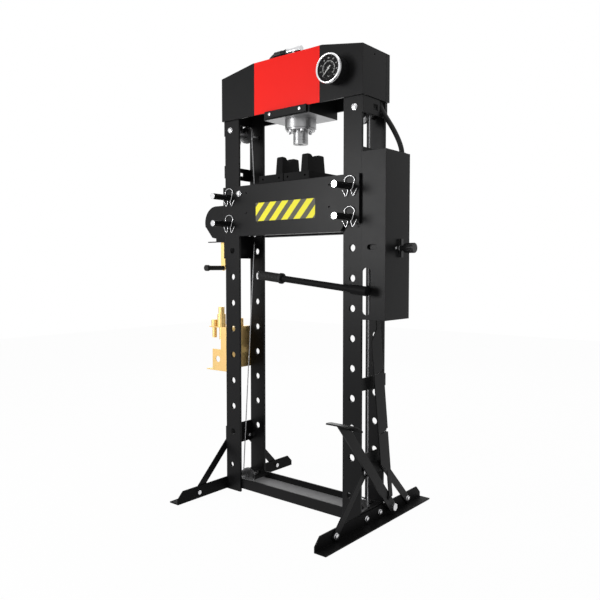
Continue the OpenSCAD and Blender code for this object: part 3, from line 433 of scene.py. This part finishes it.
def twisted_wire(name):
    """Bright wire rope with the slant of its strands."""
    tints = bpy.context.scene.press_finish
    slant, groove_shade = math.radians(35), (0.2, 0.2, 0.21)
    look = Look(name, {"Metallic": 0.9})
    turn = look.node("ShaderNodeMapping", None, {"Vector": look.place, "Rotation": (0, slant, 0)})
    strands = look.node("ShaderNodeTexWave", {"bands_direction": "Z"}, {
        "Vector": Sock(look, turn.outputs[0]), "Scale": 150.0, "Distortion": 0.4})
    strand = Sock(look, strands.outputs[1])
    # Dark grooves between the strands are painted shade.
    colour = look.blend(strand, groove_shade, shaded(tints.steel, 1.1))
    return look.wear(colour, 0.34 + look.noise(80) * 0.1, look.bump(strand, distance=0.0004))


def moulded(name, colour, roughness, grain_scale, depth, shine=0.2):
    """Rubber or plastic with a moulded grain."""
    look = Look(name, {"Specular IOR Level": shine})
    grain, cloud = look.noise(grain_scale, detail=3), look.noise(12, detail=3)
    soft, edge = look.rounded(radius=0.0009)
    tone = look.blend(cloud, colour, shaded(colour, 1.5))
    # Lighter edges: a painted highlight.
    tone = look.blend(edge * 0.3, tone, [min(1, c * 2.6 + 0.004) for c in colour])
    return look.wear(tone, roughness + cloud * 0.1, look.bump(grain, distance=depth, normal=soft))


def dial_white(name, shade=1.0):
    """White print with a trace of ink grain."""
    base = shaded(bpy.context.scene.press_finish.white, shade)
    look = Look(name, {"Specular IOR Level": 0.3})
    grain = look.noise(1500)
    colour = look.blend(grain * 0.3, base, shaded(base, 0.8))
    return look.wear(colour, 0.5 + grain * 0.1, look.bump(grain, distance=0.00001))


def clear_cover(name):
    """Clear gauge cover with a faint haze."""
    look = Look(name, {"Alpha": 0.02, "Specular IOR Level": 0.3})
    haze = look.noise(20, detail=3)
    colour = look.blend(haze, [0.03] * 3, [0.05] * 3)
    return look.wear(colour, 0.03 + haze * 0.04, look.bump(haze, distance=0.00001))


FINISHES = {}


def make_finishes():
    """One finish for each sort of surface."""
    tints = bpy.context.scene.press_finish
    FINISHES.update(
        black=powder_coat("black powder coat"),
        head=powder_coat("head powder coat", red_panel),
        bed=powder_coat("bed powder coat", hazard_band),
        base=powder_coat("base powder coat", pale_floor),
        carriage=powder_coat("carriage powder coat", pale_under),
        clamp=powder_coat("clamp powder coat", bright_screws),
        # The pins are steel; their black coat is a painted dark reflection, and only their ends show bare
        # steel.
        pin=powder_coat("steel pins with painted dark reflection", bright_ends),
        coupler=powder_coat("hose coupler", bright_coupler),
        link=powder_coat("pull rod", bright_tip),
        plated=plated_steel("plated steel", 0.16, shade=1.1),
        # Turned steel made half as bright: the darker colour is a painted dark reflection.
        turned=plated_steel("turned steel", 0.26, (0.02, 0.02, 1), 0.5),
        dark_steel=plated_steel("dark steel", 0.32, shade=0.35),
        chrome=plated_steel("bezel steel", 0.1, shade=1.3),
        zinc=yellow_zinc("yellow zinc"),
        wire=twisted_wire("wire rope"),
        hose=moulded("hose rubber", tints.rubber, 0.5, 900, 0.00006),
        grip=moulded("grip rubber", tints.rubber, 0.62, 1200, 0.00008),
        plastic=moulded("black plastic", tints.black, 0.34, 800, 0.00003, 0.3),
        matt=moulded("matt black", shaded(tints.black, 0.5), 0.5, 500, 0.00003, 0.06),
        dial=moulded("dial black", shaded(tints.black, 0.5), 0.55, 1400, 0.00001, 0.1),
        white=dial_white("dial white"),
        print=dial_white("dial print", 0.8),
        cover=clear_cover("gauge cover"),
    )


NODE_FINISH = {
    "head": ["head_front"],
    "bed": ["bed_front"],
    "base": ["base_beam"],
    "carriage": ["carriage"],
    "clamp": ["carriage_clamp"],
    "pin": ["bed_pins"],
    "coupler": ["hose_coupler"],
    "matt": ["handle_socket", "handle_tube", "left_block", "right_block", "left_foot", "right_foot"],
    "link": ["pull_rod"],
    "plated": ["frame_bolts", "bed_bolt", "pin_clips", "pedal_pivot_bolt"],
    "turned": ["cylinder_flange", "ram", "pump_plunger"],
    "dark_steel": ["pump_block", "rope_sheaves", "sheave_axles"],
    "chrome": ["gauge_bezel"],
    "zinc": ["winch_lever", "adapter_rack", "tall_adapter", "short_adapter", "small_adapter"],
    "wire": ["lift_rope", "level_rope"],
    "hose": ["pressure_hose"],
    "grip": ["handle_grip", "winch_grip"],
    "plastic": ["release_knob", "gauge_case"],
    "dial": ["gauge_dial"],
    "white": ["gauge_needle"],
    "cover": ["gauge_glass"],
}


def stand(point, axis=(0, 0, 1)):
    """A place whose Z looks along an axis."""
    return Matrix.Translation(point) @ Vector(axis).to_track_quat("Z", "Y").to_matrix().to_4x4()


def turned_shape(profile, steps=40, closed=False):
    """A profile of (radius, height) points spun about Z."""
    bm = bmesh.new()
    dots = [bm.verts.new((r, 0, h)) for r, h in profile]
    pairs = list(zip(dots, dots[1:])) + ([(dots[-1], dots[0])] if closed else [])
    lines = [bm.edges.new(pair) for pair in pairs]
    bmesh.ops.spin(
        bm, geom=dots + lines, axis=(0, 0, 1), cent=(0, 0, 0), angle=FULL_TURN, steps=steps, use_merge=True)
    bmesh.ops.remove_doubles(bm, verts=bm.verts, dist=DOUBLES)
    bmesh.ops.recalc_face_normals(bm, faces=bm.faces)
    return bm


def put(bm, part, places):
    """Copies a finished part into a mesh at each place, and frees it."""
    mesh = bpy.data.meshes.new("part")
    part.to_mesh(mesh)
    part.free()
    for place in places:
        first = len(bm.verts)
        bm.from_mesh(mesh)
        bm.verts.ensure_lookup_table()
        bmesh.ops.transform(bm, matrix=place, verts=bm.verts[first:])
    bpy.data.meshes.remove(mesh)


def add_piece(name, bm, finish, body, slot, *stands_for):
    """Makes a mesh a smooth piece that rides a body."""
    for face in bm.faces:
        face.smooth = True
    for edge in bm.edges:
        edge.smooth = len(edge.link_faces) == 2 and edge.calc_face_angle() < SHARP
    mesh = bpy.data.meshes.new(name)
    bm.to_mesh(mesh)
    bm.free()
    mesh.materials.append(FINISHES[finish])
    piece = bpy.data.objects.new(name, mesh)
    bpy.context.scene.collection.objects.link(piece)
    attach(piece, body)
    if stands_for:
        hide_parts(*stands_for)
    return piece


def add_turned(name, profile, steps, closed, places, *rest):
    """Makes a spun profile at each place one piece."""
    bm = bmesh.new()
    put(bm, turned_shape(profile, steps, closed), places)
    return add_piece(name, bm, *rest)


def smooth_copy(node, name, finish, body, slot):
    """A rounder copy of a swept CAD node, which stands for it."""
    bm = bmesh.new()
    bm.from_mesh(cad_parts[node].data)
    bmesh.ops.remove_doubles(bm, verts=bm.verts, dist=DOUBLES)
    bmesh.ops.join_triangles(
        bm, faces=bm.faces, angle_face_threshold=math.radians(40), angle_shape_threshold=math.radians(60))
    piece = add_piece(name, bm, finish, body, slot, node)
    rounder = piece.modifiers.new("Round", "SUBSURF")
    rounder.levels = rounder.render_levels = 1
    return piece


class PRESS_OT_finishes(bpy.types.Operator):
    """Gives every CAD node its finish"""

    bl_idname = "press.finishes"
    bl_label = "Finishes"

    def execute(self, context):
        make_finishes()
        chosen = {node: finish for finish, nodes in NODE_FINISH.items() for node in nodes}
        for name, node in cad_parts.items():
            node.data.materials.clear()
            node.data.materials.append(FINISHES[chosen.pop(name, "black")])
        if chosen:
            raise RuntimeError("no CAD node named " + ", ".join(chosen))
        return {"FINISHED"}


def lettering(text, height):
    """A flat word as a mesh in the XY plane."""
    curve = bpy.data.curves.new("figure", "FONT")
    curve.body, curve.size = text, height
    curve.align_x = curve.align_y = "CENTER"
    curve.resolution_u = 3
    curve.extrude = 0.6 * INK
    holder = bpy.data.objects.new("figure", curve)
    bpy.context.scene.collection.objects.link(holder)
    shown = holder.evaluated_get(bpy.context.evaluated_depsgraph_get())
    mesh = bpy.data.meshes.new_from_object(shown)
    bm = bmesh.new()
    bm.from_mesh(mesh)
    bpy.data.objects.remove(holder)
    bpy.data.curves.remove(curve)
    bpy.data.meshes.remove(mesh)
    return bm


class PRESS_OT_gauge(bpy.types.Operator):
    """Rounded bezel, printed scale and numbers of the pressure gauge"""

    bl_idname = "press.gauge"
    bl_label = "Gauge"

    def execute(self, context):
        sizes = context.scene.press_fittings
        low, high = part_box("gauge_bezel")
        axis_x, axis_z = (low.x + high.x) / 2, (low.z + high.z) / 2
        outer, depth = (high.x - low.x) / 2, high.y - low.y
        inner = outer - sizes.bezel_wall
        ring = [(inner, 0), (inner, 0.7 * depth), (inner + 0.0012, 0.9 * depth), (inner + 0.003, depth),
                (outer - 0.0032, depth), (outer - 0.001, 0.92 * depth), (outer, 0.74 * depth),
                (outer, 0.3 * depth), (outer - 0.0008, 0.24 * depth), (outer, 0.16 * depth), (outer, 0)]
        place = stand((axis_x, high.y, axis_z), (0, -1, 0))
        add_turned("gauge_ring", ring, 72, True, [place], "chrome", "frame", "bezel_steel", "gauge_bezel")
        face_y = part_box("gauge_dial")[1].y - DIAL_FACE
        flat = Matrix.Translation((axis_x, face_y, axis_z)) @ Matrix.Rotation(math.radians(90), 4, "X")
        bm = bmesh.new()
        self.ticks(bm, flat, 2 * sizes.scale_steps)
        arc_ring, arc_end = TICK_RING + 0.0011, -0.0188
        outline = [(TICK_RING, 0), (arc_ring, 0), (arc_ring, INK), (TICK_RING, INK)]
        arc = turned_shape(outline, 90, True)
        bmesh.ops.bisect_plane(
            arc, geom=arc.verts[:] + arc.edges[:] + arc.faces[:], plane_co=(0, arc_end, 0),
            plane_no=(0, -1, 0), clear_outer=True)
        put(bm, arc, [flat])
        add_piece("gauge_scale", bm, "print", "frame", "needle_white")
        bm = bmesh.new()
        for step in range(sizes.scale_steps + 1):
            angle = math.radians(SCALE_START - SCALE_SWEEP * step / sizes.scale_steps)
            spot = (FIGURE_RING * math.cos(angle), FIGURE_RING * math.sin(angle), INK / 2)
            put(bm, lettering(str(SCALE_STEP * step), sizes.figure), [flat @ Matrix.Translation(spot)])
        spot = (0, -sizes.unit_drop, INK / 2)
        put(bm, lettering("bar", sizes.unit), [flat @ Matrix.Translation(spot)])
        add_piece("gauge_numbers", bm, "print", "frame", "needle_white")
        return {"FINISHED"}

    def ticks(self, bm, flat, count):
        """Short bars round the dial, longer and wider at each numbered step."""
        for step in range(count + 1):
            length, width = (0.003, 0.0005) if step % 2 else (0.0046, 0.0009)
            bar = bmesh.new()
            bmesh.ops.create_cube(bar, size=1, matrix=Matrix.Diagonal((length, width, INK, 1)))
            turn = Matrix.Rotation(math.radians(SCALE_START - SCALE_SWEEP * step / count), 4, "Z")
            put(bm, bar, [flat @ turn @ Matrix.Translation((TICK_RING - length / 2, 0, INK / 2))])


class PRESS_OT_hose(bpy.types.Operator):
    """Round pressure hose with its crimped sleeve and grommet"""

    bl_idname = "press.hose"
    bl_label = "Hose"

    def execute(self, context):
        smooth_copy("pressure_hose", "hose_line", "hose", "frame", "hose_rubber")
        low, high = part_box("hose_coupler")
        bore, crimped, crimp_pitch = 0.0098, 0.0112, 0.009
        sleeve = [(bore, 0), (0.0118, 0), (0.0123, 0.001), (0.0123, 0.004)]
        for crimp in range(3):
            start = 0.006 + crimp * crimp_pitch
            sleeve += [(crimped, start), (crimped, start + 0.005),
                       (0.0121, start + 0.0062), (0.0121, start + 0.0078)]
        sleeve += [(0.0117, 0.036), (bore, 0.0365)]
        place = stand((low.x, HOSE_Y, high.z - HOSE_DROP), (-1, 0, 0))
        add_turned("hose_sleeve", sleeve, 40, True, [place], "plastic", "frame", "hose_rubber")
        lip = [(bore, 0), (0.0165, 0), (0.0165, 0.0012), (0.0142, 0.0036), (0.0112, 0.0048), (bore, 0.0048)]
        place = stand((*HOSE_ENTRY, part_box("pump_housing")[1].z))
        add_turned("hose_grommet", lip, 40, True, [place], "grip", "frame", "grip_rubber")
        return {"FINISHED"}


class PRESS_OT_ropes(bpy.types.Operator):
    """Round wire ropes, their pressed sleeves and the turns on the drum"""

    bl_idname = "press.ropes"
    bl_label = "Ropes"

    def execute(self, context):
        length = context.scene.press_fittings.sleeve_l
        smooth_copy("lift_rope", "lift_rope_wire", "wire", "frame", "wire_rope")
        smooth_copy("level_rope", "level_rope_wire", "wire", "frame", "wire_rope")
        bore, outer = 0.0026, 0.0048
        sleeve = [(bore, 0), (0.0042, 0), (outer, 0.0008), (outer, length - 0.0012), (0.004, length),
                  (bore, length)]
        top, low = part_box("bed_ties")[1].z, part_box("bed_ties")[0].z
        ends = ((-1, top, ROPE_UP), (1, top, ROPE_UP), (-1, low, ROPE_DOWN))
        places = [stand((side * TIE_X, 0, z), (side * x, y, rise)) for side, z, (x, y, rise) in ends]
        add_turned("rope_sleeves", sleeve, 24, True, places, "plated", "frame", "bare_steel")
        coil = bmesh.new()
        round_wire = bmesh.ops.create_circle(
            coil, segments=10, radius=WIRE_R, matrix=stand((TURN_R, 0, 0), (0, 1, 0)))["verts"]
        edges = list({edge for vert in round_wire for edge in vert.link_edges})
        bmesh.ops.spin(coil, geom=round_wire + edges, axis=(0, 0, 1), cent=(0, 0, 0), angle=FULL_TURN,
                       steps=48, use_merge=True)
        bmesh.ops.recalc_face_normals(coil, faces=coil.faces)
        low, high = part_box("winch_drum")
        hub = Vector(((low.x + high.x) / 2, 0, (low.z + high.z) / 2))
        bm = bmesh.new()
        put(bm, coil, [stand(hub + Vector((0, TURN_PITCH * turn, 0)), (0, 1, 0)) for turn in TURNS])
        add_piece("drum_turns", bm, "wire", "frame", "wire_rope")
        return {"FINISHED"}


class PRESS_OT_clips(bpy.types.Operator):
    """Round spring clips on the bed pins"""

    bl_idname = "press.clips"
    bl_label = "Spring clips"

    def execute(self, context):
        smooth_copy("pin_clips", "spring_clips", "plated", "frame", "bare_steel")
        return {"FINISHED"}


class PRESS_OT_fasteners(bpy.types.Operator):
    """Washers, domed bolt faces and the screws under the cylinder flange"""

    bl_idname = "press.fasteners"
    bl_label = "Fasteners"

    def execute(self, context):
        sizes = context.scene.press_fittings
        seats = [stand((side * x, end * y, z), (side, 0, 0))
                 for side in (-1, 1) for end in (-1, 1) for x, y, z in SIDE_BOLTS]
        seats += [stand(point, (0, -1, 0)) for point in FRONT_BOLTS]
        outer, bore, thick, edge = sizes.washer_r, sizes.washer_bore, sizes.washer_t, 0.0004
        ring = [(bore, 0), (outer - edge, 0), (outer, edge), (outer, thick - edge), (outer - 0.0005, thick),
                (bore, thick)]
        bm = bmesh.new()
        put(bm, turned_shape(ring, 36, True), seats)
        dome = [(0, 0.0082), (0.005, 0.0081), (0.0074, 0.0074), (0.0081, 0.0068), (0, 0.0068)]
        put(bm, turned_shape(dome, 36), seats)
        add_piece("bolt_washers", bm, "plated", "frame", "bare_steel")
        low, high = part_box("cylinder_flange")
        inset, first, step = 0.0135, 15, 60
        reach = (high.x - low.x) / 2 - inset
        outer, tall, edge, key, key_floor, root = sizes.screw_r, sizes.screw_h, 0.0008, 0.0032, 0.003, 0.001
        head = [(0, -key_floor), (key, -key_floor), (key, -tall), (outer - edge, -tall), (outer, edge - tall),
                (outer, root), (0, root)]
        places = [Matrix.Rotation(math.radians(angle), 4, "Z") @ Matrix.Translation((reach, 0, low.z))
                  for angle in range(first, 360, step)]
        add_turned("flange_screws", head, 28, False, places, "plated", "frame", "bare_steel")
        return {"FINISHED"}


class PRESS_OT_handle(bpy.types.Operator):
    """Ribbed grip and bright end plug of the pump handle"""

    bl_idname = "press.handle"
    bl_label = "Pump handle"

    def execute(self, context):
        pitch = context.scene.press_fittings.rib_pitch
        place = (Matrix.Translation(HANDLE_HINGE) @ Matrix.Rotation(HANDLE_DROOP, 4, "Y")
                 @ Matrix.Rotation(math.radians(-90), 4, "Y"))
        outer, collar, bore, floor = 0.018, 0.021, 0.0127, 0.0167
        sleeve = [(bore, 0.370), (0.0195, 0.370), (collar, 0.3715), (collar, 0.3805), (0.0195, 0.382),
                  (outer, 0.3825)]
        along, last_rib = 0.386, 0.478
        while along < last_rib:
            sleeve += [(outer, along), (floor, along + 0.0008), (floor, along + 0.0026),
                       (outer, along + 0.0034)]
            along += pitch
        sleeve += [(outer, 0.4855), (outer - 0.0012, 0.4875), (bore, 0.488)]
        add_turned("handle_sleeve", sleeve, 40, True, [place], "grip", "pump_handle", "grip_rubber",
                   "handle_grip")
        seat, tip, outer = 0.4878, 0.5004, 0.0131
        plug = [(0, tip), (0.0105, tip), (0.0126, 0.4992), (outer, 0.4975), (outer, seat), (0, seat)]
        add_turned("handle_plug", plug, 36, False, [place], "chrome", "pump_handle", "bare_steel")
        return {"FINISHED"}


class PRESS_OT_knob(bpy.types.Operator):
    """Fluted sleeve of the release knob and the bright nut behind it"""

    bl_idname = "press.knob"
    bl_label = "Release knob"

    def execute(self, context):
        sizes = context.scene.press_fittings
        end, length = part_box("release_knob")[1].x, 0.0345
        taper, flute = 0.94, 0.945
        bm = bmesh.new()
        rim = bmesh.ops.create_circle(bm, segments=4 * sizes.flutes, radius=taper * sizes.knob_r)["verts"]
        for index, vert in enumerate(rim):
            if index % 4 == 0:
                vert.co *= flute
        ring = bm.edges[:]
        for rise, shrink in ((0.001, 1 / taper), (0.0315, 1), (0.001, taper), (0.0003, 0.9)):
            raised = bmesh.ops.extrude_edge_only(bm, edges=ring)["geom"]
            ring = [part for part in raised if isinstance(part, bmesh.types.BMEdge)]
            verts = [part for part in raised if isinstance(part, bmesh.types.BMVert)]
            bmesh.ops.translate(bm, vec=(0, 0, rise), verts=verts)
            bmesh.ops.scale(bm, vec=(shrink, shrink, 1), verts=verts)
        bmesh.ops.holes_fill(bm, edges=bm.edges)
        bmesh.ops.recalc_face_normals(bm, faces=bm.faces)
        bmesh.ops.transform(bm, matrix=stand((end - length, KNOB_Y, KNOB_Z), (1, 0, 0)), verts=bm.verts)
        add_piece("knob_sleeve", bm, "plastic", "release_knob", "knob_plastic")
        nut = bmesh.new()
        hexagon = [(0, 0), (0.0105, 0), (0.0105, 0.0029), (0.0096, 0.0034), (0, 0.0034)]
        put(nut, turned_shape(hexagon, 6), [stand((HOUSING_SIDE, KNOB_Y, KNOB_Z), (1, 0, 0))])
        screw = [(0, 0.0032), (0.003, 0.003), (0.0042, 0.0022), (0.0046, 0), (0, 0)]
        put(nut, turned_shape(screw, 24), [stand((HOUSING_SIDE, SCREW_Y, KNOB_Z), (1, 0, 0))])
        add_piece("valve_nut", nut, "plated", "frame", "bare_steel")
        return {"FINISHED"}


class PRESS_OT_stage(bpy.types.Operator):
    """Pale floor, white surroundings, soft lamps and the camera"""

    bl_idname = "press.stage"
    bl_label = "Stage"

    def execute(self, context):
        stage, scene = context.scene.press_stage, context.scene
        scene.view_settings.view_transform = "Standard"
        bm = bmesh.new()
        bmesh.ops.create_grid(bm, x_segments=2, y_segments=2, size=stage.floor / 2)
        mesh = bpy.data.meshes.new("studio_floor")
        bm.to_mesh(mesh)
        bm.free()
        floor = bpy.data.objects.new("studio_floor", mesh)
        floor.location.z = -stage.floor_drop
        scene.collection.objects.link(floor)
        mesh.materials.append(self.paper(stage.floor_glow))
        self.surroundings(scene, stage.ambient)
        for lamp in LAMPS:
            self.lamp(scene, *lamp)
        lens = bpy.data.cameras.new("camera")
        lens.sensor_width, lens.lens = stage.sensor, stage.lens
        camera = bpy.data.objects.new("camera", lens)
        camera.location = stage.eye
        camera.rotation_euler = (stage.pitch, 0, stage.heading)
        scene.collection.objects.link(camera)
        scene.camera = camera
        return {"FINISHED"}

    def paper(self, strength):
        """White paper that keeps a soft shadow."""
        look = Look("studio paper", {"Specular IOR Level": 0.1})
        grain = look.noise(3, detail=2)
        look.wear(look.blend(grain, (0.9, 0.9, 0.9), (0.93, 0.93, 0.93)), 0.8 + grain * 0.05,
                  look.bump(grain, distance=0.00001))
        glow = look.node("ShaderNodeEmission", None, {"Color": (1, 1, 1), "Strength": 1.0})
        out = next(n for n in look.tree.nodes if n.type == "OUTPUT_MATERIAL")
        mixed = look.node("ShaderNodeMixShader", None, {
            0: look.seen() * strength, 1: Sock(look, look.shader.outputs[0]), 2: Sock(look, glow.outputs[0])})
        look.fill(out.inputs["Surface"], Sock(look, mixed.outputs[0]))
        return look.material

    def surroundings(self, scene, ambient):
        """White to the eye and in reflections, and an even grey light elsewhere."""
        world = bpy.data.worlds.new("studio")
        world.use_nodes = True
        scene.world = world
        board = Board(world.node_tree)
        shade = next(n for n in world.node_tree.nodes if n.type == "BACKGROUND")
        board.fill(shade.inputs["Color"], (1, 1, 1))
        board.fill(shade.inputs["Strength"], ambient + board.seen() * (1 - ambient))

    def lamp(self, scene, name, place, aim, size, power):
        """A square soft lamp."""
        light = bpy.data.lights.new(name, "AREA")
        light.size, light.energy = size, power
        lamp = bpy.data.objects.new(name, light)
        lamp.location = place
        lamp.rotation_euler = (Vector(aim) - Vector(place)).to_track_quat("-Z", "Y").to_euler()
        scene.collection.objects.link(lamp)


PIECES = (PRESS_OT_finishes, PRESS_OT_gauge, PRESS_OT_hose, PRESS_OT_ropes, PRESS_OT_clips,
          PRESS_OT_fasteners, PRESS_OT_handle, PRESS_OT_knob, PRESS_OT_stage)


class VIEW3D_PT_press(bpy.types.Panel):
    """Lists the steps that dress the press"""

    bl_label = "Workshop press"
    bl_idname = "VIEW3D_PT_press"
    bl_space_type = "VIEW_3D"
    bl_region_type = "UI"
    bl_category = "Press"

    def draw(self, context):
        for piece in PIECES:
            self.layout.operator(piece.bl_idname)
        for group in (context.scene.press_finish, context.scene.press_fittings, context.scene.press_stage):
            box = self.layout.box()
            for name in group.__annotations__:
                box.prop(group, name)


GROUPS = {"press_finish": PressFinish, "press_fittings": PressFittings, "press_stage": PressStage}
CLASSES = (*GROUPS.values(), *PIECES, VIEW3D_PT_press)


def register():
    for cls in CLASSES:
        bpy.utils.register_class(cls)
    for name, group in GROUPS.items():
        setattr(bpy.types.Scene, name, PointerProperty(type=group))


def unregister():
    for name in GROUPS:
        delattr(bpy.types.Scene, name)
    for cls in reversed(CLASSES):
        bpy.utils.unregister_class(cls)


def main():
    register()
    for piece in PIECES:
        group, step = piece.bl_idname.split(".")
        getattr(getattr(bpy.ops, group), step)()


if __name__ == "__main__":
    main()
